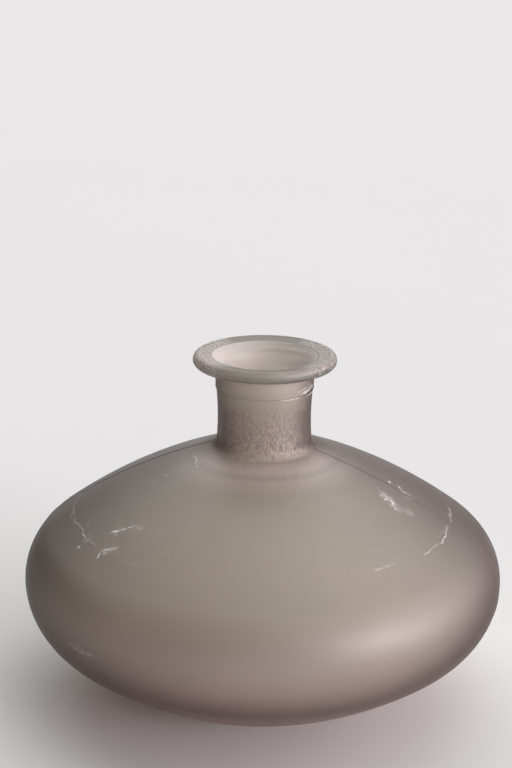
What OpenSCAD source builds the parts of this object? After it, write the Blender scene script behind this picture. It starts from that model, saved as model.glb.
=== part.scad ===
// Glass bud vase: a squat round bottle with a short narrow neck and a flat flanged lip.
// The real vase is one piece of blown glass. Each module below is one named zone of that
// glass, and neighbouring zones meet face to face, square across the wall.
// Millimetres, +Z up, origin on the table under the middle of the base.
// Every zone is an outline drawn right of the axis and turned once about it. The body's and
// the neck's zones also carry the fine ridge that the joint between the mould's halves leaves.

/* [Body] */
// Widest diameter of the body
body_d = 150; // [144:1:156]
// Height of the widest line
waist_h = 37.5; // [36:0.5:39]
// Section radius just above the widest line
upper_waist_r = 19; // [17.5:0.5:20.5]
// Section radius just below the widest line
lower_waist_r = 24; // [22.5:0.5:25.5]
// Section radius of the long arc over the shoulder
shoulder_r = 175; // [165:5:185]
// Section radius of the long arc under the belly
belly_r = 140; // [135:1:145]
// Thickness of the glass in the body
wall = 3; // [2.5:0.1:3.5]

/* [Base] */
// Outer diameter of the flat ring that the vase stands on
foot_d = 66; // [64:1:68]
// Width of that ring
foot_w = 4; // [3:0.5:5]
// Height of the hollow under the middle of the base
push_up = 3; // [2:0.5:3.5]
// Height of the floor inside
floor_h = 7; // [6:0.5:8]

/* [Neck] */
// Diameter of the bore, which takes the stems
bore_d = 23.5; // [22:0.5:25]
// Height where the neck starts to turn out into the shoulder
neck_foot_h = 82; // [81:0.5:83]
// Radius of that turn, outside
root_r = 3; // [2.5:0.5:4]
// Section radius of the neck's hollow sides
neck_hollow_r = 90; // [80:5:120]
// Outer diameter at the top of the neck, below the mould's parting line
neck_top_d = 29.9; // [29.5:0.1:30.2]
// Height of the parting line between the mould's body and its neck ring
parting_h = 98.5; // [97:0.5:100]

/* [Lip] */
// Outer diameter of the collar above the parting line
collar_d = 30.4; // [30.2:0.1:31]
// Radius of the turn from the collar into the lip
under_lip_r = 3; // [2.5:0.1:3.2]
// Outer diameter of the lip
lip_d = 44.4; // [43:0.2:46]
// Height of the lip's highest line, which is the height of the vase
lip_h = 109.2; // [108.5:0.1:110]
// Radius of the lip's round edge
lip_edge_r = 1.95; // [1.8:0.05:2.1]
// Diameter of the mouth at the lip's inner edge
mouth_d = 32.6; // [31:0.2:33]
// Slope of the lip's top, falling towards the mouth, in degrees
lip_slope = 10; // [7:1:13]

/* [Mould seam] */
// Height of the ridge, which runs up both sides of the vase
seam_h = 0.12; // [0.1:0.02:0.2]
// Width of the ridge
seam_w = 0.6; // [0.4:0.1:1]
// Bearing of the ridge round the axis, in degrees from +X
seam_bearing = -13; // [-20:1:-5]

/* [Hidden] */
$fn = 240;

// Frosted smoke-brown glass
GLASS = [0.58, 0.53, 0.49];

function heading(from, to) = atan2(to[1] - from[1], to[0] - from[0]);
function along(from, angle, distance) = from + distance * [cos(angle), sin(angle)];

// Where the circle of radius rp about p meets the circle of radius rq about q,
// left of the way from p to q
function meet(p, rp, q, rq) =
    let (d = norm(q - p), u = (q - p) / d, a = (rp * rp - rq * rq + d * d) / (2 * d))
    p + a * u + sqrt(rp * rp - a * a) * [-u[1], u[0]];

// Centres of the body's four tangent arcs, from the neck down to the foot
bore_r = bore_d / 2;
root_c = [bore_r + wall + root_r, neck_foot_h];
upper_waist_c = [body_d / 2 - upper_waist_r, waist_h];
lower_waist_c = [body_d / 2 - lower_waist_r, waist_h];
shoulder_c = meet(upper_waist_c, shoulder_r - upper_waist_r, root_c, shoulder_r + root_r);
belly_c = meet([foot_d / 2, 0], belly_r, lower_waist_c, belly_r - lower_waist_r);

// Headings at which one arc passes into the next
shoulder_top = heading(shoulder_c, root_c);
shoulder_end = heading(shoulder_c, upper_waist_c);
belly_start = heading(belly_c, lower_waist_c);
floor_corner = [belly_c[0] + sqrt(pow(belly_r - wall, 2) - pow(belly_c[1] - floor_h, 2)), floor_h];
belly_end = heading(belly_c, floor_corner);

// Ends of the neck's hollow side, and the centre that it is struck from
neck_low = [bore_r + wall, neck_foot_h];
neck_high = [neck_top_d / 2, parting_h];
neck_hollow_c = meet(neck_high, neck_hollow_r, neck_low, neck_hollow_r);

// The lip's round edge, the turn under it, and the flare from the bore to the mouth
lip_edge_c = [lip_d / 2 - lip_edge_r, lip_h - lip_edge_r];
under_lip_x = collar_d / 2 + under_lip_r;
under_lip_c = [under_lip_x,
               lip_edge_c[1] - sqrt(pow(under_lip_r + lip_edge_r, 2) - pow(lip_edge_c[0] - under_lip_x, 2))];
lip_top = along(lip_edge_c, 90 + lip_slope, lip_edge_r);
mouth_edge = [mouth_d / 2, lip_top[1] - (lip_top[0] - mouth_d / 2) * tan(lip_slope)];
flare_in = mouth_edge[0] - bore_r;
flare_r = (flare_in * flare_in + pow(mouth_edge[1] - parting_h, 2)) / (2 * flare_in);
flare_c = [bore_r + flare_r, parting_h];

// The sphere that hollows the underside, leaving the foot ring
hollow_half_w = foot_d / 2 - foot_w;
hollow_r = (hollow_half_w * hollow_half_w + push_up * push_up) / (2 * push_up);

// Turns a zone about the axis: the first outline whole, and the second, a little larger one
// only where it stands out as the ridge of the mould seam
module turned() {
    color(GLASS) {
        rotate_extrude() children(0);
        intersection() {
            rotate_extrude() children(1);
            rotate([0, 0, seam_bearing]) cube([2 * body_d, seam_w, 3 * lip_h], center = true);
        }
    }
}

// Solid slice of a disc about c, between two headings
module sector(c, r, from, to) {
    translate(c) intersection() {
        circle(r);
        polygon([[0, 0], along([0, 0], from, 2 * r), along([0, 0], (from + to) / 2, 2 * r),
                 along([0, 0], to, 2 * r)]);
    }
}

// Slice of a ring about c, between two headings: a stretch of wall
module arc_wall(c, r_in, r_out, from, to) {
    difference() {
        sector(c, r_out, from, to);
        translate(c) circle(r_in);
    }
}

// The flat lip: turned out from the collar, round at its edge, falling to the mouth
module lip_ring() {
    inside = mouth_edge - [5, 5 * tan(lip_slope)];
    color(GLASS) rotate_extrude() {
        difference() {
            intersection() {
                polygon([under_lip_c, lip_edge_c, lip_top, inside, [inside[0], under_lip_c[1]]]);
                translate(flare_c) circle(flare_r);
            }
            translate(under_lip_c) circle(under_lip_r);
        }
        sector(lip_edge_c, lip_edge_r, heading(lip_edge_c, under_lip_c), 90 + lip_slope);
    }
}

// The straight collar that the neck ring of the mould forms
module collar() {
    color(GLASS) rotate_extrude() intersection() {
        polygon([[0, parting_h], [collar_d / 2, parting_h],
                 [collar_d / 2, under_lip_c[1]], [0, under_lip_c[1]]]);
        translate(flare_c) circle(flare_r);
    }
}

// Section of the neck's wall, from an inner radius to the hollow side, grown outwards
module neck_wall(inner_r, grow) {
    difference() {
        polygon([[inner_r, neck_foot_h], neck_low + [grow, 0], neck_high + [grow, 0],
                 [inner_r, parting_h]]);
        translate(neck_hollow_c + [grow, 0]) circle(neck_hollow_r);
    }
}

// The neck: a straight bore with slightly hollow sides
module neck() {
    turned() {
        neck_wall(bore_r, 0);
        neck_wall(bore_r + wall / 2, seam_h);
    }
}

// The turn from the neck into the shoulder
module neck_root() {
    turned() {
        arc_wall(root_c, root_r, root_r + wall, 180, 180 + shoulder_top);
        arc_wall(root_c, root_r - seam_h, root_r + wall / 2, 180, 180 + shoulder_top);
    }
}

// The wide, gently crowned shoulder
module shoulder() {
    turned() {
        arc_wall(shoulder_c, shoulder_r - wall, shoulder_r, shoulder_end, shoulder_top);
        arc_wall(shoulder_c, shoulder_r - wall / 2, shoulder_r + seam_h, shoulder_end, shoulder_top);
    }
}

// The tight curve above the widest line
module upper_waist() {
    turned() {
        arc_wall(upper_waist_c, upper_waist_r - wall, upper_waist_r, 0, shoulder_end);
        arc_wall(upper_waist_c, upper_waist_r - wall / 2, upper_waist_r + seam_h, 0, shoulder_end);
    }
}

// The slightly wider curve below the widest line
module lower_waist() {
    turned() {
        arc_wall(lower_waist_c, lower_waist_r - wall, lower_waist_r, belly_start, 0);
        arc_wall(lower_waist_c, lower_waist_r - wall / 2, lower_waist_r + seam_h, belly_start, 0);
    }
}

// The belly, falling in to the base
module belly() {
    turned() {
        arc_wall(belly_c, belly_r - wall, belly_r, belly_end, belly_start);
        arc_wall(belly_c, belly_r - wall / 2, belly_r + seam_h, belly_end, belly_start);
    }
}

// The base: a flat floor inside, a flat foot ring and a shallow hollow underneath
module base() {
    color(GLASS) rotate_extrude() difference() {
        intersection() {
            polygon([[0, 0], [0, floor_h], floor_corner,
                     along(floor_corner, belly_end, 2 * wall), [body_d / 2, 0]]);
            translate(belly_c) circle(belly_r);
        }
        translate([0, push_up - hollow_r]) circle(hollow_r);
    }
}

lip_ring();
collar();
neck();
neck_root();
shoulder();
upper_waist();
lower_waist();
belly();
base();
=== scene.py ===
"""Looks of the frosted glass bud vase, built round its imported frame.

The glass is one surface of revolution, from the hollow under the base, up the outside, over
the lip and down the inside to the floor. Each CAD zone gets its own closed piece of that
surface. Where two pieces meet inside the glass, their faces let light straight through.
"""

import math
from types import SimpleNamespace

import bpy
import numpy as np
from mathutils import Matrix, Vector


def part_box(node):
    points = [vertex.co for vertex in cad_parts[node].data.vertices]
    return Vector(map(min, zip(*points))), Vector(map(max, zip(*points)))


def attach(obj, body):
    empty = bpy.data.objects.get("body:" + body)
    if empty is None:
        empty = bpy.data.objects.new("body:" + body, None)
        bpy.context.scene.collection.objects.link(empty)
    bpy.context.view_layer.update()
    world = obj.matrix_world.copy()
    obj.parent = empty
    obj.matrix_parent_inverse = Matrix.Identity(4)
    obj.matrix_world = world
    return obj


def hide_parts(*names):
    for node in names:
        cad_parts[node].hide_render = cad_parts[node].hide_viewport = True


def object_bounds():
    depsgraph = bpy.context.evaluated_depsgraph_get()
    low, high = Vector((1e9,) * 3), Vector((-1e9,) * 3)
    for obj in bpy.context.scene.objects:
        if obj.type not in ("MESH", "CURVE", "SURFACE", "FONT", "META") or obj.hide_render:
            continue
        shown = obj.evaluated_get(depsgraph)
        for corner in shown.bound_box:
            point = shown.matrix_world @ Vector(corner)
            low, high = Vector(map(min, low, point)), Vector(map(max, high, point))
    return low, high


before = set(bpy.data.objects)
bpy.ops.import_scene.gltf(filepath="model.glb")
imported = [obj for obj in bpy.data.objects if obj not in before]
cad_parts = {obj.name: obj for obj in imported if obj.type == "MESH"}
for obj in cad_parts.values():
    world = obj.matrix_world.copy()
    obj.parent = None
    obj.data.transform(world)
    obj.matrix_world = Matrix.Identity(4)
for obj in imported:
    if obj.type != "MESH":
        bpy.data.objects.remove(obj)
cad_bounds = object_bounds()

MM = 0.001

# ---------------------------------------------------------------- section of the glass

# Sizes that the frame gives
BODY_R = min(abs(bound[k]) for bound in cad_bounds for k in (0, 1))
WAIST_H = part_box("upper_waist")[0].z
NECK_FOOT_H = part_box("neck")[0].z
NECK_TOP_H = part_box("neck")[1].z
COLLAR_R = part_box("collar")[1].x
LIP_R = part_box("lip_ring")[1].x
LIP_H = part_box("lip_ring")[1].z
FLOOR_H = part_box("base")[1].z

# Sizes that it doesn't
UPPER_WAIST_R = 19 * MM
LOWER_WAIST_R = 24 * MM
SHOULDER_R = 175 * MM
BELLY_R = 140 * MM
WALL = 3 * MM
FOOT_R = 33 * MM
FOOT_W = 4 * MM
PUSH_UP = 3 * MM
BORE_R = 11.75 * MM
ROOT_R = 3 * MM
NECK_HOLLOW_R = 90 * MM
NECK_TOP_R = 14.95 * MM
UNDER_LIP_R = 3 * MM
LIP_EDGE_R = 1.95 * MM
MOUTH_R = 16.3 * MM
LIP_SLOPE = math.radians(10)

FINE = 0.05 * MM              # step along the section before it is thinned out
EASE = 0.12 * MM              # how far a corner is eased
EASE_REACH = 4                # how many times as far the easing looks on each side
# The longest side of a face along the section, and the most that it turns
OUTSIDE_STEP = 1.2 * MM
INSIDE_STEP = 2.0 * MM
TURN_STEP = math.radians(5)


def toward(start, angle, distance):
    return np.array(start) + distance * np.array([math.cos(angle), math.sin(angle)])


def heading(start, end):
    return math.atan2(end[1] - start[1], end[0] - start[0])


def meet(p, rp, q, rq):
    """Where two circles meet, left of the way from p to q."""
    p, q = np.array(p), np.array(q)
    d = np.linalg.norm(q - p)
    u = (q - p) / d
    a = (rp ** 2 - rq ** 2 + d ** 2) / (2 * d)
    return p + a * u + math.sqrt(rp ** 2 - a ** 2) * np.array([-u[1], u[0]])


class Section:
    """A path in the plane of radius and height, with named marks where zones meet."""

    def __init__(self, start):
        self.points = [np.array(start, float)]
        self.marks = {"start": 0}

    def mark(self, name):
        self.marks[name] = len(self.points) - 1

    def line(self, end):
        start, end = self.points[-1], np.array(end)
        n = max(2, round(np.linalg.norm(end - start) / FINE))
        self.points += [start + t * (end - start) for t in np.linspace(0, 1, n + 1)[1:]]

    def arc(self, centre, r, a0, a1):
        n = max(2, round(abs(a1 - a0) * r / FINE))
        self.points += [toward(centre, a, r) for a in np.linspace(a0, a1, n + 1)[1:]]


def glass_section():
    """The whole outline of the glass, from the middle underneath to the middle of the floor."""
    root_c = np.array([BORE_R + WALL + ROOT_R, NECK_FOOT_H])
    upper_c = np.array([BODY_R - UPPER_WAIST_R, WAIST_H])
    lower_c = np.array([BODY_R - LOWER_WAIST_R, WAIST_H])
    shoulder_c = meet(upper_c, SHOULDER_R - UPPER_WAIST_R, root_c, SHOULDER_R + ROOT_R)
    belly_c = meet([FOOT_R, 0], BELLY_R, lower_c, BELLY_R - LOWER_WAIST_R)
    shoulder_top = heading(shoulder_c, root_c)
    shoulder_end = heading(shoulder_c, upper_c)
    belly_start = heading(belly_c, lower_c)
    inner_belly_r = BELLY_R - WALL
    belly_end = -math.acos(math.sqrt(1 - ((belly_c[1] - FLOOR_H) / inner_belly_r) ** 2))

    neck_low = np.array([BORE_R + WALL, NECK_FOOT_H])
    neck_high = np.array([NECK_TOP_R, NECK_TOP_H])
    hollow_c = meet(neck_high, NECK_HOLLOW_R, neck_low, NECK_HOLLOW_R)
    edge_c = np.array([LIP_R - LIP_EDGE_R, LIP_H - LIP_EDGE_R])
    under_x = COLLAR_R + UNDER_LIP_R
    under_c = np.array([under_x, edge_c[1] - math.sqrt(
        (UNDER_LIP_R + LIP_EDGE_R) ** 2 - (edge_c[0] - under_x) ** 2)])
    lip_top = toward(edge_c, math.pi / 2 + LIP_SLOPE, LIP_EDGE_R)
    mouth_edge = np.array([MOUTH_R, lip_top[1] - (lip_top[0] - MOUTH_R) * math.tan(LIP_SLOPE)])
    flare_in = MOUTH_R - BORE_R
    flare_r = (flare_in ** 2 + (mouth_edge[1] - NECK_TOP_H) ** 2) / (2 * flare_in)
    flare_c = np.array([BORE_R + flare_r, NECK_TOP_H])
    collar_top = math.pi - math.asin((under_c[1] - NECK_TOP_H) / flare_r)

    dome_half_w = FOOT_R - FOOT_W
    dome_r = (dome_half_w ** 2 + PUSH_UP ** 2) / (2 * PUSH_UP)
    dome_c = np.array([0, PUSH_UP - dome_r])

    s = Section([0, PUSH_UP])
    s.arc(dome_c, dome_r, math.pi / 2, heading(dome_c, [dome_half_w, 0]))
    s.line([FOOT_R, 0])
    s.arc(belly_c, BELLY_R, heading(belly_c, [FOOT_R, 0]), belly_end)
    s.mark("base")
    s.arc(belly_c, BELLY_R, belly_end, belly_start)
    s.mark("belly")
    s.arc(lower_c, LOWER_WAIST_R, belly_start, 0)
    s.mark("lower_waist")
    s.arc(upper_c, UPPER_WAIST_R, 0, shoulder_end)
    s.mark("upper_waist")
    s.arc(shoulder_c, SHOULDER_R, shoulder_end, shoulder_top)
    s.mark("shoulder")
    s.arc(root_c, ROOT_R, math.pi + shoulder_top, math.pi)
    s.mark("neck_root")
    s.arc(hollow_c, NECK_HOLLOW_R, math.pi + heading(neck_low, hollow_c),
          math.pi + heading(neck_high, hollow_c))
    s.mark("neck")
    s.line([COLLAR_R, NECK_TOP_H])
    s.line([COLLAR_R, under_c[1]])
    s.mark("collar")
    s.arc(under_c, UNDER_LIP_R, math.pi, heading(under_c, edge_c))
    s.arc(edge_c, LIP_EDGE_R, heading(edge_c, under_c), math.pi / 2 + LIP_SLOPE)
    s.line(mouth_edge)
    s.mark("mouth")
    s.arc(flare_c, flare_r, heading(flare_c, mouth_edge), collar_top)
    s.mark("in_lip_ring")
    s.arc(flare_c, flare_r, collar_top, math.pi)
    s.mark("in_collar")
    s.line([BORE_R, NECK_FOOT_H])
    s.mark("in_neck")
    s.arc(root_c, ROOT_R + WALL, math.pi, math.pi + shoulder_top)
    s.mark("in_neck_root")
    s.arc(shoulder_c, SHOULDER_R - WALL, shoulder_top, shoulder_end)
    s.mark("in_shoulder")
    s.arc(upper_c, UPPER_WAIST_R - WALL, shoulder_end, 0)
    s.mark("in_upper_waist")
    s.arc(lower_c, LOWER_WAIST_R - WALL, 0, belly_start)
    s.mark("in_lower_waist")
    s.arc(belly_c, inner_belly_r, belly_start, belly_end)
    s.mark("in_belly")
    s.line([0, FLOOR_H])
    s.mark("end")
    return s


def eased(points):
    """The path with its corners eased. Past both ends it carries on as its own mirror image."""
    reach = round(EASE_REACH * EASE / FINE)
    mirror = points * [-1, 1]
    padded = np.vstack([mirror[reach:0:-1], points, mirror[-2:-reach - 2:-1]])
    weights = np.exp(-0.5 * (np.arange(-reach, reach + 1) * FINE / EASE) ** 2)
    weights /= weights.sum()
    smooth = np.column_stack([np.convolve(padded[:, k], weights, "valid") for k in (0, 1)])
    smooth[[0, -1], 0] = 0
    return smooth


def thinned(points, first, last, step):
    """Indices from first to last, close together where the path turns."""
    sides = np.diff(points[first:last + 1], axis=0)
    headings = np.unwrap(np.arctan2(sides[:, 1], sides[:, 0]))
    turns = np.abs(np.diff(headings, prepend=headings[0]))
    cost = np.linalg.norm(sides, axis=1) / step + turns / TURN_STEP
    total = np.concatenate([[0], np.cumsum(cost)])
    picks = np.searchsorted(total, np.linspace(0, total[-1], math.ceil(total[-1]) + 1)[:-1])
    return list(first + np.unique(picks))


# ---------------------------------------------------------------- grid over the whole glass

SEAM_BEARING = math.radians(-13)
SEAM_H = 0.12 * MM
SEAM_W = 0.6 * MM
COLUMN = math.radians(1.5)
SEAM_COLUMNS = np.radians([0.1, 0.2, 0.3, 0.4, 0.55, 0.75, 1.0, 1.25])
# Blown glass is a little uneven inside: how far, and its waves, each with its lobes round the
# axis, where they start, its length over 2 pi upwards, and where it starts
UNEVEN = 0.12 * MM
WAVES = [(3, 1.1, 9 * MM, 0), (5, 0.4, 6 * MM, 2)]
UNEVEN_FADE_ROWS = 6          # how soon it starts below the neck
UNEVEN_FADE_R = 20 * MM       # where it starts to fade towards the axis


def column_bearings():
    """Even bearings round the axis, with more of them on both sides of each seam."""
    even = np.arange(round(2 * math.pi / COLUMN)) * COLUMN
    near = np.concatenate([SEAM_COLUMNS, -SEAM_COLUMNS, math.pi + SEAM_COLUMNS,
                           math.pi - SEAM_COLUMNS])
    return SEAM_BEARING + np.sort(np.concatenate([even, near]) % (2 * math.pi))


def build_grid():
    """Points and normals of the whole glass, and the row of each mark."""
    section = glass_section()
    path = eased(np.array(section.points))
    names = list(section.marks)
    picks, rows = [], {}
    for name, following in zip(names, names[1:]):
        rows[name] = len(picks)
        outside = section.marks[name] < section.marks["mouth"]
        picks += thinned(path, section.marks[name], section.marks[following],
                         OUTSIDE_STEP if outside else INSIDE_STEP)
    rows["end"] = len(picks)
    picks.append(section.marks["end"])

    along = np.gradient(path, axis=0)[picks]
    along /= np.linalg.norm(along, axis=1)[:, None]
    out = np.column_stack([along[:, 1], -along[:, 0]])
    path = path[picks]
    bearings = column_bearings()
    row = np.arange(len(picks))

    # The seam's ridge stands on the body and the neck
    off_seam = path[:, :1] * np.sin(bearings - SEAM_BEARING)
    ridge = SEAM_H * np.clip(1.5 - 2 * np.abs(off_seam) / SEAM_W, 0, 1)
    ridge *= ((row >= rows["base"]) & (row < rows["neck"]))[:, None]

    uneven = UNEVEN * sum(np.sin(lobes * bearings + turn)[None, :]
                          * np.sin(path[:, 1:] / length + start)
                          for lobes, turn, length, start in WAVES)
    uneven *= (np.clip((row - rows["in_neck_root"]) / UNEVEN_FADE_ROWS, 0, 1)
               * np.clip(path[:, 0] / UNEVEN_FADE_R, 0, 1))[:, None]

    lift = ridge + uneven
    r = path[:, :1] + out[:, :1] * lift
    z = path[:, 1:] + out[:, 1:] * lift
    points = np.stack([r * np.cos(bearings), r * np.sin(bearings), z + 0 * r], axis=-1)

    down = np.gradient(points, axis=0)
    turned = np.concatenate([points[:, -1:], points, points[:, :1]], axis=1)
    across = turned[:, 2:] - turned[:, :-2]
    normals = np.cross(across, down)
    normals[0], normals[-1] = (0, 0, -1), (0, 0, 1)
    normals /= np.linalg.norm(normals, axis=-1)[..., None]
    return points, normals, rows


GRID, NORMALS, ROWS = build_grid()
COLUMNS = GRID.shape[1]

# Which runs of rows each zone's piece takes, outside first
ZONES = {
    "base": [("start", "base"), ("in_belly", "end")],
    "belly": [("base", "belly"), ("in_lower_waist", "in_belly")],
    "lower_waist": [("belly", "lower_waist"), ("in_upper_waist", "in_lower_waist")],
    "upper_waist": [("lower_waist", "upper_waist"), ("in_shoulder", "in_upper_waist")],
    "shoulder": [("upper_waist", "shoulder"), ("in_neck_root", "in_shoulder")],
    "neck_root": [("shoulder", "neck_root"), ("in_neck", "in_neck_root")],
    "neck": [("neck_root", "neck"), ("in_collar", "in_neck")],
    "collar": [("neck", "collar"), ("in_lip_ring", "in_collar")],
    "lip_ring": [("collar", "in_lip_ring")],
}
OUTSIDE, INSIDE, JOINT = 0, 1, 2


def glass_piece(zone, materials):
    """One zone as a closed mesh: its outside, its inside, and the faces to its neighbours."""
    runs = [range(ROWS[a], ROWS[b] + 1) for a, b in ZONES[zone]]
    rows = [row for run in runs for row in run]
    poles = (ROWS["start"], ROWS["end"])
    vertices, normals, first = [], [], []
    for row in rows:
        first.append(len(vertices))
        cells = slice(0, 1) if row in poles else slice(None)
        vertices += GRID[row, cells].tolist()
        normals += NORMALS[row, cells].tolist()

    faces, kinds = [], []
    for i, row in enumerate(rows):
        j = (i + 1) % len(rows)
        following = rows[j]
        if row in poles and following in poles:
            continue
        if following != row + 1:
            kind = JOINT
        else:
            kind = OUTSIDE if row < ROWS["mouth"] else INSIDE
        for c in range(COLUMNS):
            d = (c + 1) % COLUMNS
            if row in poles:
                face = (first[i], first[j] + d, first[j] + c)
            elif following in poles:
                face = (first[i] + c, first[i] + d, first[j])
            else:
                face = (first[i] + c, first[i] + d, first[j] + d, first[j] + c)
            faces.append(face)
            kinds.append(kind)

    mesh = bpy.data.meshes.new(zone + "_glass")
    mesh.from_pydata(vertices, [], faces)
    for material in materials:
        mesh.materials.append(material)
    mesh.polygons.foreach_set("material_index", kinds)
    mesh.polygons.foreach_set("use_smooth", [True] * len(faces))
    mesh.update()
    loops = []
    for polygon, kind in zip(mesh.polygons, kinds):
        for v in polygon.vertices:
            loops.append(polygon.normal[:] if kind == JOINT else normals[v])
    mesh.normals_split_custom_set(loops)

    piece = bpy.data.objects.new(zone + "_glass", mesh)
    bpy.context.scene.collection.objects.link(piece)
    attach(piece, "root")
    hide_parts(zone)


# ---------------------------------------------------------------- materials

# Tones of the outside
# Painted light: low on the body the glass is painted paler and pinker
PINK_LIT_TONE = (0.73, 0.52, 0.49, 1)           # low on the body
GREY_TONE = (0.46, 0.425, 0.352, 1)         # high on the body
CLOUD_TONE = (0.43, 0.41, 0.345, 1)
# Painted light: the glass round the neck's root is painted paler and pinker
ROOT_GLOW_TONE = (0.95, 0.82, 0.76, 1)           # where the neck is rooted
# Painted shade: the grey ring where the inner edge of the neck's root shows through
ROOT_RING_SHADE_TONE = (0.30, 0.34, 0.30, 1)
NECK_TONE = (0.50, 0.39, 0.345, 1)
# Painted light: the collar is painted paler and pinker
COLLAR_GLOW_TONE = (0.80, 0.66, 0.60, 1)
LIP_TONE = (0.50, 0.43, 0.39, 1)
# Painted shade on the lip's round edge
RIM_SHADE_TONE = (0.17, 0.18, 0.165, 1)
MOUTH_EDGE_TONE = (0.08, 0.06, 0.045, 1)
# Painted shade: the glass is painted darker where it is seen edge on
LIMB_SHADE_TONE = (0.05, 0.02, 0.008, 1)          # where the glass is seen edge on
SEAM_TONE = (0.16, 0.12, 0.13, 1)
# Pale wear, and the painted highlight along the parting line
WEAR_AND_HIGHLIGHT_TONE = (0.92, 0.90, 0.87, 1)
# Painted shade in the crease
CREASE_SHADE_TONE = (0.02, 0.015, 0.012, 1)
# Tones of the inside, which drift from one to the other
INNER_TONES = (0.95, 0.88, 0.825, 1), (0.92, 0.875, 0.83, 1)

# How much of a tone shows at its strongest
CLOUD_SHARE = 0.35
NECK_SHARES = (0.8, 0.2)                    # at the neck's foot and at its top
COLLAR_SHARE = 0.4
LIP_SHARE = 0.75
RIM_SHARE = 0.7
ROOT_RING_SHARE = 0.5
SEAM_SHARE = 0.6
WEAR_SHARE = 0.8
SHOULDER_SAND = 0.15
NECK_SAND = (0.5, 0.15)                     # at the neck's foot and higher up

# What pale grains, dark grains and streaks add to the brightness of the tone
PALE_GRAIN = 0.75
DARK_GRAIN = -0.6
DARK_STREAK = -0.25

# Sizes of noise
CLOUD_SIZE = 30 * MM
SAND_PATCH_SIZE = 12 * MM
WAVE_SIZE = 6 * MM
TORN_SIZE = 5 * MM
STRAY_SIZE = 8 * MM
HAIR_SIZE = 0.9 * MM
WORN_SIZE = 0.6 * MM
GRAIN_SIZE = 0.5 * MM
SAND_SIZE = 0.32 * MM
SAND_SQUASH = (1.0, 1.0, 0.6)               # grains are longer upwards
STREAK_SIZE = 0.02                          # in radians round the axis
STREAK_SQUASH = 15.0                        # radians for a metre of height

# Heights of the bumps, in millimetres
GRAIN_BUMP = 0.02
STREAK_BUMP = 0.06
SAND_BUMP = 0.12
WAVE_BUMP = 0.15

# Levels of noise between which a mask fades
CLOUD_LEVELS = (0.35, 0.65)
ROUGH_LEVELS = (0.25, 0.75)
SAND_PATCH_LEVELS = (0.45, 0.65)
PALE_GRAIN_LEVELS = (0.52, 0.66)
DARK_GRAIN_LEVELS = (0.48, 0.34)
DARK_STREAK_LEVELS = (0.55, 0.40)
HAIR_LEVELS = (0.005, 0.055)                # away from the middle
TORN_LEVELS = (0.5, 0.6)
GAP_LEVELS = (0.35, 0.6)

# Heights between which a mask fades. A band has a third number, how soft its ends are.
PINK_TO_GREY = (15 * MM, 52 * MM)
ABOVE_WAIST = (WAIST_H + 15 * MM, WAIST_H + 25 * MM)
ROOT_UP = (NECK_FOOT_H, NECK_FOOT_H + 8 * MM)
TURN_BAND = (NECK_FOOT_H - 4 * MM, NECK_FOOT_H + 1 * MM, 1.5 * MM)
SAND_UP = (NECK_FOOT_H, NECK_FOOT_H + 12 * MM)
NECK_BAND = (NECK_FOOT_H - 2 * MM, NECK_TOP_H - 3 * MM, 3 * MM)
SEAM_END = (NECK_TOP_H, NECK_TOP_H + 0.2 * MM)
COLLAR_BAND = (NECK_TOP_H + 2 * MM, LIP_H - 5 * MM, 2 * MM)
LIP_FROM = (LIP_H - 4.5 * MM, LIP_H - 3.5 * MM)
RIM_BAND = (LIP_H - 3.2 * MM, LIP_H - 1.5 * MM, 0.5 * MM)
MOUTH_EDGE_FROM = (LIP_H - 5 * MM, LIP_H - 4 * MM)

# The same for the distance from the axis, and for the seam from the middle of its ridge
ROOT_IN = (14.5 * MM, 18.5 * MM)
ROOT_OUT = (20 * MM, 33 * MM)
ROOT_RING_BAND = (22.8 * MM, 24.8 * MM, 1.6 * MM)
RIM_OUT = (LIP_R - 1.5 * MM, LIP_R - 0.8 * MM)
MOUTH_EDGE_BAND = (MOUTH_R - 0.2 * MM, MOUTH_R + 0.45 * MM, 0.15 * MM)
SEAM_BAND = (-0.6 * MM, 0.35 * MM, 0.2 * MM)

# How far the lip's tone and sand hold towards the front and the back: from and to as a share
# of its radius to the side, and the least
LIP_SIDES = (0.5, 0.8, 0.12)
# The mouth's dark line: the way to its strongest side, from and to, least and most
MOUTH_EDGE_WAY = (0.7, 1.0)
MOUTH_EDGE_SIDES = (-0.3, 0.5, 0.15, 0.85)

# How far the glass has to turn from the eye for the limb's painted shade, on the body and on the
# neck
LIMB_FACING = (0.05, 0.8)
NECK_FACING = (0.0, 0.6)
LIMB_ON_NECK = 0.85
LIMB_ON_LIP = 0.4
LIMB_AT_FOOT = 0.3
LIMB_FULL_H = 32 * MM

IOR = 1.5
ROUGH = 0.52
ROUGH_DRIFT = 0.03
ROUGH_TURN = 0.15                           # what the turn at the neck's foot adds
ROUGH_CREASE = 0.45                         # what the crease and the seam add
CLEAR = 0.70
CLEAR_WORN = -0.75                          # what wear and the crease take away
INNER_ROUGH = (0.18, 0.65)                  # below the neck's top and near the mouth
INNER_CLEAR = (1.0, 0.8)                    # below the neck's foot and above its top


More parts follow.
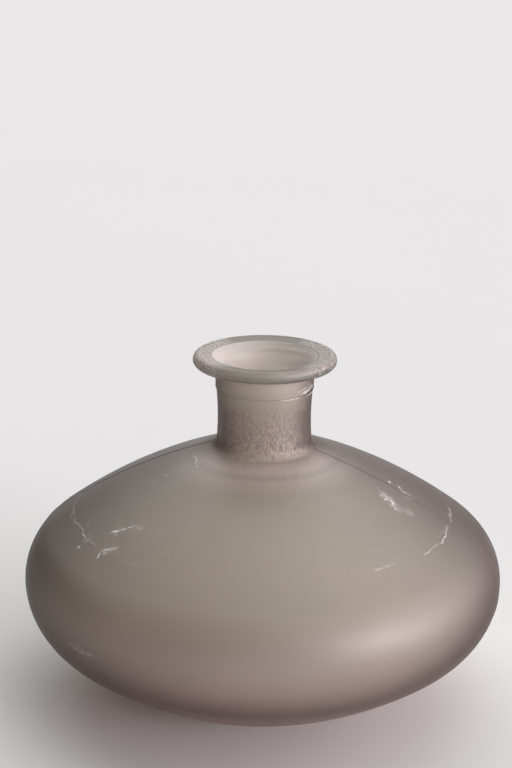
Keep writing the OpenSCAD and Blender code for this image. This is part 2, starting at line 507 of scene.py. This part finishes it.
class Tree:
    """The nodes of a material or a world. An input is a number, a vector, or another node's
    output."""

    def __init__(self, owner):
        self.owner = owner
        owner.use_nodes = True
        self.tree = owner.node_tree
        self.tree.nodes.clear()

    def add(self, kind, inputs=None, **settings):
        node = self.tree.nodes.new("ShaderNode" + kind)
        for key, value in settings.items():
            setattr(node, key, value)
        for key, value in (inputs or {}).items():
            if isinstance(value, bpy.types.NodeSocket):
                self.tree.links.new(value, node.inputs[key])
            else:
                node.inputs[key].default_value = value
        return node

    def math(self, operation, *values, clamp=False):
        return self.add("Math", dict(enumerate(values)), operation=operation,
                        use_clamp=clamp).outputs[0]

    def product(self, first, *others):
        for other in others:
            first = self.math("MULTIPLY", first, other)
        return first

    def most(self, *values):
        return self.math("MAXIMUM", *values)

    def plus(self, value, factor, other):
        """value times factor, plus other."""
        return self.math("MULTIPLY_ADD", value, factor, other)

    def away(self, value, middle):
        """How far a value is from the middle, either way."""
        return self.math("ABSOLUTE", self.math("SUBTRACT", value, middle))

    def vector(self, operation, *values):
        node = self.add("VectorMath", dict(enumerate(values)), operation=operation)
        return node.outputs["Value" if operation in ("DISTANCE", "DOT_PRODUCT") else 0]

    def scaled(self, vector, factor):
        return self.add("VectorMath", {0: vector, "Scale": factor}, operation="SCALE").outputs[0]

    def noise(self, place, size, detail=2.0, roughness=0.5, output="Fac"):
        """Soft noise from 0 to 1 whose lumps are about size across."""
        return self.add("TexNoise", {"Vector": place, "Scale": 0.5 / size, "Detail": detail,
                                     "Roughness": roughness}).outputs[output]

    def fade(self, value, low, high, at_low=0.0, at_high=1.0):
        return self.add("MapRange", {"Value": value, "From Min": low, "From Max": high,
                                     "To Min": at_low, "To Max": at_high},
                        interpolation_type="SMOOTHSTEP").outputs[0]

    def band(self, value, low, high, soft):
        """1 between low and high, fading to 0 over soft on each side."""
        return self.product(self.fade(value, low - soft, low + soft),
                            self.fade(value, high - soft, high + soft, 1.0, 0.0))

    def mix(self, factor, a, b):
        return self.add("Mix", {0: factor, 6: a, 7: b}, data_type="RGBA").outputs[2]

    def bump(self, height):
        """The normal of a surface with bumps, whose height is in millimetres."""
        return self.add("Bump", {"Height": height, "Distance": MM, "Strength": 1.0}).outputs[0]

    def finish(self, kind, inputs):
        """The finished material, which ends in one shader."""
        self.add("OutputMaterial", {"Surface": self.add(kind, inputs).outputs[0]})
        return self.owner


# Wear on the outside, placed one by one. A line runs from one bearing and height to another,
# in degrees and mm, and has a width in mm and a strength.
SCRATCHES = [
    (172, 58.4, -177, 58.1, 0.30, 0.4), (-177, 58.1, -171, 57.6, 0.35, 0.5),
    (-168, 58.1, -161, 58.7, 0.40, 0.5), (-161, 58.7, -155, 58.3, 0.45, 0.7),
    (-155, 58.3, -148, 58.1, 0.40, 0.5), (-133, 57.5, -126, 58.2, 0.40, 0.4),
    (-146.6, 61.1, -146.4, 62.0, 0.35, 0.8), (-146.4, 61.9, -142.4, 62.9, 0.90, 1.0),
    (-142.5, 62.9, -140.5, 64.2, 0.60, 0.8), (-140.5, 64.3, -136, 64.4, 1.20, 0.4),
    (-141.7, 56.6, -142.6, 57.8, 0.60, 0.9), (-142.6, 57.8, -139.5, 59.6, 0.60, 0.7),
    (-140.0, 58.3, -138.4, 59.9, 0.45, 0.6),
    (-166, 77.3, -146, 76.5, 0.30, 1.0), (-139, 33.4, -131, 33.7, 0.80, 0.5),
    (-8.7, 68.5, -11.9, 67.6, 0.50, 0.7), (-11.9, 67.6, -10.3, 66.6, 0.45, 0.5),
    (-22.5, 70.9, -24.7, 69.4, 0.30, 0.5), (-24.7, 69.4, -26.0, 67.0, 0.35, 0.7),
    (-27.5, 68.9, -24.5, 67.4, 0.35, 0.7), (-26.5, 66.8, -24.0, 64.9, 0.30, 0.5),
    (-28.5, 67.8, -26.0, 66.6, 0.30, 0.7),
    (1.6, 59.1, -3.5, 58.7, 0.45, 0.4), (-3.5, 58.7, -10.5, 58.8, 0.40, 0.35),
    (-16.8, 58.4, -27.1, 58.1, 0.40, 0.5), (-27.1, 58.1, -37, 57.9, 0.35, 0.4),
]
# A small crease where the seam meets the collar, painted as shade and without a strength, and
# the fine pale lines beside it
CREASES = [(-31, 98.6, -18, 98.9, 0.7), (-20, 98.8, -5, 99.5, 0.8)]
CREASE_LINES = [
    (-43, 99.2, -18, 100.6, 0.28, 1.0), (-38, 99.0, -14, 99.9, 0.28, 0.9),
    (-47, 100.0, -24, 101.4, 0.25, 0.7), (-30, 97.7, -10, 98.0, 0.28, 0.8),
    # A painted highlight along the parting line, not wear
    (-70, 98.2, -45, 98.2, 0.25, 0.7),
]
# Bearing, height, size and strength
SCUFFS = [
    (-144, 62.6, 2.4, 0.9), (-139, 64.3, 3.2, 0.5), (-141, 58.4, 2.8, 0.8),
    (-138.5, 59.3, 2.0, 0.6), (-153, 58.3, 2.6, 0.5), (-160, 60.0, 3.0, 0.3),
    (-135, 33.5, 2.4, 0.4), (-25.0, 68.8, 3.4, 0.7), (-26.5, 67.0, 3.0, 0.7),
    (-24.0, 65.2, 2.4, 0.5), (-13, 67.0, 3.5, 0.3), (-6, 59.0, 1.8, 0.35),
    (-2, 49.0, 3.0, 0.4),
]
# Bearing, height and size
SPECKS = [(-152.1, 56.3, 1.0), (-157.3, 73.2, 0.5), (-153.5, 72.5, 0.35), (-9.7, 69.9, 0.9)]
# A faint broken ring of wear, and how far it strays in all
SCUFF_RING_R = 59.3 * MM
SCUFF_RING_STRAY = 4 * MM
SCUFF_RING_STRENGTH = 0.3
# What is left of wear in its fine gaps
WEAR_IN_GAPS = 0.3
# How a line bends: the size of the bends and how far they reach in all
LINE_BENDS = [(3 * MM, 2.4 * MM), (0.7 * MM, 1.0 * MM)]


def on_glass(bearing, height):
    """The point of the outside at a bearing and a height, from just under the widest line up,
    and its normal."""
    a, z = math.radians(bearing), height * MM
    outside = slice(ROWS["lower_waist"], ROWS["collar"])
    x, y, heights = np.moveaxis(GRID[outside], -1, 0)
    off = np.angle(np.exp(1j * (np.arctan2(y[0], x[0]) - a)))
    column = int(np.argmin(np.abs(off)))
    row = outside.start + int(np.searchsorted(heights[:, column], z))
    r = np.interp(z, heights[:, column], np.hypot(x[:, column], y[:, column]))
    return np.array([r * math.cos(a), r * math.sin(a), z]), NORMALS[row, column]


def line_mask(t, bent, place, mark):
    """1 along a short line on the outside, which bends as bent strays from place."""
    b0, h0, b1, h1, width = mark
    (start, n0), (end, n1) = on_glass(b0, h0), on_glass(b1, h1)
    across = np.cross(end - start, n0 + n1)
    across /= np.linalg.norm(across)
    off = t.away(t.vector("DOT_PRODUCT", bent, tuple(across)), float(across @ start))
    middle = (start + end) / 2
    reach = float(np.linalg.norm(end - start)) / 2
    near = t.fade(t.vector("DISTANCE", place, tuple(middle)), reach * 0.9, reach * 1.2, 1.0, 0.0)
    return t.product(t.fade(off, 0.2 * width * MM, 0.8 * width * MM, 1.0, 0.0), near)


def spot_mask(t, bent, bearing, height, size, strength=1.0):
    """strength in the middle of a spot on the outside, fading to 0 at its edge."""
    middle = on_glass(bearing, height)[0]
    return t.fade(t.vector("DISTANCE", bent, tuple(middle)), 0.3 * size * MM, size * MM,
                  strength, 0.0)


def wear_and_highlight_mask(t, on):
    """1 on scratches, scuffs and specks, on the pale lines by the crease, one of them a painted
    highlight along the parting line, and on the ring of wear round the shoulder.
    """
    def stray(size, reach):
        noise = t.noise(on.place, size, 1.0, output="Color")
        return t.scaled(t.vector("SUBTRACT", noise, (0.5, 0.5, 0.5)), reach)

    bent = t.vector("ADD", on.place, t.vector("ADD", *[stray(*bend) for bend in LINE_BENDS]))
    worn_and_lit = 0.0
    for lines, path in ((SCRATCHES, bent), (CREASE_LINES, on.place)):
        for *mark, strength in lines:
            worn_and_lit = t.most(worn_and_lit, t.product(line_mask(t, path, on.place, mark), strength))
    hairs = t.fade(t.away(t.noise(on.place, HAIR_SIZE, 3.0, 0.6), 0.5), *HAIR_LEVELS, 1.0, 0.0)
    for scuff in SCUFFS:
        worn_and_lit = t.most(worn_and_lit, t.product(hairs, spot_mask(t, bent, *scuff)))
    for speck in SPECKS:
        worn_and_lit = t.most(worn_and_lit, spot_mask(t, bent, *speck))

    stray_r = t.math("ADD", on.r, t.product(t.noise(on.place, STRAY_SIZE), SCUFF_RING_STRAY))
    off_ring = t.away(stray_r, SCUFF_RING_R + SCUFF_RING_STRAY / 2)
    torn = t.fade(t.noise(on.place, TORN_SIZE, 4.0, 0.7), *TORN_LEVELS)
    ring = t.product(torn, t.fade(on.z, WAIST_H, WAIST_H + 5 * MM),
                     t.fade(off_ring, 0.1 * MM, 0.4 * MM, SCUFF_RING_STRENGTH, 0.0))
    gaps = t.fade(t.noise(on.place, WORN_SIZE), *GAP_LEVELS, WEAR_IN_GAPS, 1.0)
    return t.product(t.most(worn_and_lit, ring), gaps)


def places(t):
    """Where a point of the outside lies: its place, radius and height, the drift of the broad
    clouds there, and masks that are 1 on the neck, the collar and so on."""
    place = t.add("TexCoord").outputs["Object"]
    x, y, z = t.add("SeparateXYZ", {0: place}).outputs
    r = t.math("SQRT", t.math("ADD", t.product(x, x), t.product(y, y)))
    to_side = t.fade(t.math("ABSOLUTE", t.math("DIVIDE", x, r)), *LIP_SIDES, 1.0)
    return SimpleNamespace(
        place=place, x=x, y=y, z=z, r=r, clouds=t.noise(place, CLOUD_SIZE, 3.0, 0.55),
        above_waist=t.fade(z, *ABOVE_WAIST), neck=t.band(z, *NECK_BAND),
        collar=t.band(z, *COLLAR_BAND), lip=t.product(t.fade(z, *LIP_FROM), to_side))


def zone_tones(t, on):
    """The tone of each zone of the glass, seen face on."""
    # Pinker and paler below, which is painted light, with broad clouding, and paler again where
    # the neck is rooted, which is painted light too
    tone = t.mix(t.fade(on.z, *PINK_TO_GREY), PINK_LIT_TONE, GREY_TONE)
    tone = t.mix(t.fade(on.clouds, *CLOUD_LEVELS, 0.0, CLOUD_SHARE), tone, CLOUD_TONE)
    # Painted light: paler round the neck's root, standing in for light in the glass there
    root = t.product(t.fade(on.r, *ROOT_OUT, 1.0, 0.0), on.above_waist, t.fade(on.r, *ROOT_IN),
                     t.fade(on.z, *ROOT_UP, 1.0, 0.0))
    tone = t.mix(root, tone, ROOT_GLOW_TONE)
    # Painted light: the collar is paler and pinker
    tone = t.mix(t.product(on.collar, COLLAR_SHARE), tone, COLLAR_GLOW_TONE)
    neck = t.product(on.neck, t.fade(on.z, NECK_FOOT_H, NECK_TOP_H, *NECK_SHARES))
    tone = t.mix(neck, tone, NECK_TONE)
    tone = t.mix(t.product(on.lip, LIP_SHARE), tone, LIP_TONE)

    # The round edge of the lip is thicker glass; a band on it is painted greyer and darker, as
    # painted shade
    rim = t.product(t.band(on.z, *RIM_BAND), t.fade(on.r, *RIM_OUT), RIM_SHARE)
    tone = t.mix(rim, tone, RIM_SHADE_TONE)

    # The inner edge of the neck's root shows through as a faint grey ring, which is painted
    # shade
    root_ring = t.product(t.band(on.r, *ROOT_RING_BAND), on.above_waist, ROOT_RING_SHARE)
    return t.mix(root_ring, tone, ROOT_RING_SHADE_TONE)


def edge_shade_mask(t, on):
    """1 where the glass is seen edge on and more of it lies in the way, for its painted shade:
    soonest on the thick narrow neck, and less on the lip and towards the foot."""
    facing = t.add("LayerWeight", {"Blend": 0.5}).outputs["Facing"]
    edge = t.most(t.fade(facing, *LIMB_FACING),
                  t.product(t.fade(facing, *NECK_FACING, 0.0, LIMB_ON_NECK), on.neck))
    return t.product(edge, t.fade(on.z, 0.0, LIMB_FULL_H, LIMB_AT_FOOT, 1.0),
                     t.fade(on.lip, 0.0, 1.0, 1.0, LIMB_ON_LIP))


def mouth_edge_mask(t, on):
    """1 on the lip's inner edge, a thin line that is fainter on one side."""
    line = t.product(t.band(on.r, *MOUTH_EDGE_BAND), t.fade(on.z, *MOUTH_EDGE_FROM))
    along = t.math("ADD", *map(t.product, (on.x, on.y), MOUTH_EDGE_WAY))
    return t.product(line, t.fade(t.math("DIVIDE", along, on.r), *MOUTH_EDGE_SIDES))


def seam_mask(t, on):
    """A thin line along the mould seam, below the parting line."""
    off = t.vector("DOT_PRODUCT", on.place,
                   (-math.sin(SEAM_BEARING), math.cos(SEAM_BEARING), 0))
    return t.product(t.band(off, *SEAM_BAND), SEAM_SHARE, t.fade(on.z, *SEAM_END, 1.0, 0.0))


def frosted_glass():
    t = Tree(bpy.data.materials.new("frosted glass"))
    on = places(t)
    # Painted shade where the glass is seen edge on
    tone = t.mix(edge_shade_mask(t, on), zone_tones(t, on), LIMB_SHADE_TONE)

    # Fine upright streaks on the neck
    spin = t.add("CombineXYZ", {0: t.math("DIVIDE", on.x, on.r), 1: t.math("DIVIDE", on.y, on.r),
                                2: t.product(on.z, STREAK_SQUASH)}).outputs[0]
    streaks = t.noise(spin, STREAK_SIZE, 3.0, 0.65)

    # Fine sand: on the lip and the neck, thinly on the shoulder
    sand = t.noise(t.vector("MULTIPLY", on.place, SAND_SQUASH), SAND_SIZE, 1.0)
    patches = t.fade(t.noise(on.place, SAND_PATCH_SIZE), *SAND_PATCH_LEVELS)
    sandy = t.most(on.lip, t.product(on.neck, t.fade(on.z, *SAND_UP, *NECK_SAND)))
    sandy = t.most(sandy, t.product(patches, on.above_waist, SHOULDER_SAND))

    shade = t.plus(t.product(t.fade(sand, *PALE_GRAIN_LEVELS), sandy), PALE_GRAIN, 1.0)
    shade = t.plus(t.product(t.fade(sand, *DARK_GRAIN_LEVELS), sandy), DARK_GRAIN, shade)
    shade = t.plus(t.product(t.fade(streaks, *DARK_STREAK_LEVELS), on.neck), DARK_STREAK, shade)
    tone = t.scaled(tone, shade)

    # Thin dark lines at the mouth and along the seam, then pale wear and a painted highlight,
    # then the crease's painted shade
    tone = t.mix(mouth_edge_mask(t, on), tone, MOUTH_EDGE_TONE)
    seam = seam_mask(t, on)
    tone = t.mix(seam, tone, SEAM_TONE)
    worn_and_lit = wear_and_highlight_mask(t, on)
    tone = t.mix(t.product(worn_and_lit, WEAR_SHARE), tone, WEAR_AND_HIGHLIGHT_TONE)
    creased = 0.0
    for mark in CREASES:
        creased = t.most(creased, line_mask(t, on.place, on.place, mark))
    tone = t.mix(creased, tone, CREASE_SHADE_TONE)

    # Bumps: satin grain everywhere, streaks on the neck, sand where it lies
    height = t.product(t.noise(on.place, GRAIN_SIZE), GRAIN_BUMP)
    height = t.math("ADD", height, t.product(streaks, on.neck, STREAK_BUMP))
    height = t.math("ADD", height, t.product(sand, sandy, SAND_BUMP))

    roughness = t.fade(on.clouds, *ROUGH_LEVELS, ROUGH - ROUGH_DRIFT, ROUGH + ROUGH_DRIFT)
    roughness = t.plus(t.band(on.z, *TURN_BAND), ROUGH_TURN, roughness)
    roughness = t.plus(t.most(creased, seam), ROUGH_CREASE, roughness)
    clear = t.math("MULTIPLY_ADD", t.most(worn_and_lit, creased), CLEAR_WORN, CLEAR, clamp=True)
    return t.finish("BsdfPrincipled", {
        "Base Color": tone, "Roughness": roughness, "Transmission Weight": clear, "IOR": IOR,
        "Normal": t.bump(height)})


def inner_glass():
    t = Tree(bpy.data.materials.new("smooth inner glass"))
    place = t.add("TexCoord").outputs["Object"]
    z = t.add("SeparateXYZ", {0: place}).outputs[2]
    return t.finish("BsdfPrincipled", {
        "Base Color": t.mix(t.noise(place, CLOUD_SIZE), *INNER_TONES),
        "Roughness": t.fade(z, NECK_TOP_H, LIP_H - 6 * MM, *INNER_ROUGH),
        "Transmission Weight": t.fade(z, NECK_FOOT_H, NECK_TOP_H, *INNER_CLEAR), "IOR": IOR,
        "Normal": t.bump(t.product(t.noise(place, WAVE_SIZE), WAVE_BUMP))})


def joint_glass():
    t = Tree(bpy.data.materials.new("solid glass at a joint"))
    return t.finish("BsdfTransparent", {"Color": (1, 1, 1, 1)})


materials = [frosted_glass(), inner_glass(), joint_glass()]
for zone in ZONES:
    glass_piece(zone, materials)

# ---------------------------------------------------------------- stage, light and camera

STAGE_R = 9.0
STAGE_CORNERS = 96
PAPER_TONES = (0.61, 0.61, 0.60, 1), (0.625, 0.625, 0.615, 1)
BACKDROP_TONE = (0.76, 0.765, 0.75, 1)

# Soft light from all round: bearing right of the way to the camera, elevation, half width,
# colour. The last three together are the window.
SURROUNDINGS = [
    (180, 45, 50, (2.5, 2.55, 2.55)), (180, 10, 55, (0.25, 0.25, 0.25)),
    (90, 55, 50, (1.1, 1.1, 1.1)), (90, 10, 50, (1.2, 1.05, 1.15)),
    (118, 8, 32, (1.6, 1.4, 1.55)),
    (45, 10, 50, (1.0, 0.86, 0.85)), (270, 55, 50, (0.12, 0.12, 0.12)),
    (48, 9, 14, (13.5, 12.8, 13.9)), (60, 8, 14, (13.5, 12.8, 13.9)),
    (72, 7, 14, (13.5, 12.8, 13.9)),
]

CAMERA_DISTANCE = 0.5351      # in front of the vase's axis
CAMERA_HEIGHT = 0.2625
CAMERA_PITCH = 0.2963         # downwards, in radians
CAMERA_YAW = -0.0050
CAMERA_ROLL = 0.0097
LENS = 85
SENSOR_W = 36


def make_stage():
    """A plain pale floor that reaches far in every direction."""
    bearings = np.arange(STAGE_CORNERS) * 2 * math.pi / STAGE_CORNERS
    rim = [(STAGE_R * math.cos(a), STAGE_R * math.sin(a), 0) for a in bearings]
    mesh = bpy.data.meshes.new("floor")
    mesh.from_pydata(rim, [], [tuple(range(STAGE_CORNERS))])
    t = Tree(bpy.data.materials.new("pale paper"))
    place = t.add("TexCoord").outputs["Object"]
    mesh.materials.append(t.finish("BsdfPrincipled", {
        "Base Color": t.mix(t.noise(place, 0.2), *PAPER_TONES), "Roughness": 0.9,
        "Specular IOR Level": 0.1}))
    floor = bpy.data.objects.new("floor", mesh)
    bpy.context.scene.collection.objects.link(floor)


def make_world():
    """Soft round patches of light on a dark sky. The camera sees an even pale backdrop in
    their place."""
    world = bpy.data.worlds.new("soft surroundings")
    t = Tree(world)
    way = t.add("TexCoord").outputs["Generated"]
    light = (0.0, 0.0, 0.0)
    for bearing, elevation, half_width, colour in SURROUNDINGS:
        a, e = math.radians(bearing), math.radians(elevation)
        middle = (math.cos(e) * math.sin(a), -math.cos(e) * math.cos(a), math.sin(e))
        patch = t.fade(t.vector("DOT_PRODUCT", way, middle),
                       math.cos(math.radians(half_width)), 1.0)
        light = t.vector("ADD", light, t.scaled(colour, patch))
    surface = t.add("MixShader", {
        0: t.add("LightPath").outputs["Is Camera Ray"],
        1: t.add("Background", {"Color": light}).outputs[0],
        2: t.add("Background", {"Color": BACKDROP_TONE}).outputs[0]}).outputs[0]
    t.add("OutputWorld", {"Surface": surface})
    bpy.context.scene.world = world


def make_camera():
    forward = np.array([math.sin(CAMERA_YAW) * math.cos(CAMERA_PITCH),
                        math.cos(CAMERA_YAW) * math.cos(CAMERA_PITCH),
                        -math.sin(CAMERA_PITCH)])
    level = np.cross(forward, [0, 0, 1])
    level /= np.linalg.norm(level)
    upright = np.cross(level, forward)
    right = math.cos(CAMERA_ROLL) * level + math.sin(CAMERA_ROLL) * upright
    up = math.cos(CAMERA_ROLL) * upright - math.sin(CAMERA_ROLL) * level
    data = bpy.data.cameras.new("camera")
    data.lens = LENS
    data.sensor_width = SENSOR_W
    camera = bpy.data.objects.new("camera", data)
    turn = Matrix([right, up, -forward]).transposed()
    camera.matrix_world = (Matrix.Translation((0, -CAMERA_DISTANCE, CAMERA_HEIGHT))
                           @ turn.to_4x4())
    bpy.context.scene.collection.objects.link(camera)
    bpy.context.scene.camera = camera


make_stage()
make_world()
make_camera()
bpy.context.scene.view_settings.view_transform = "Standard"
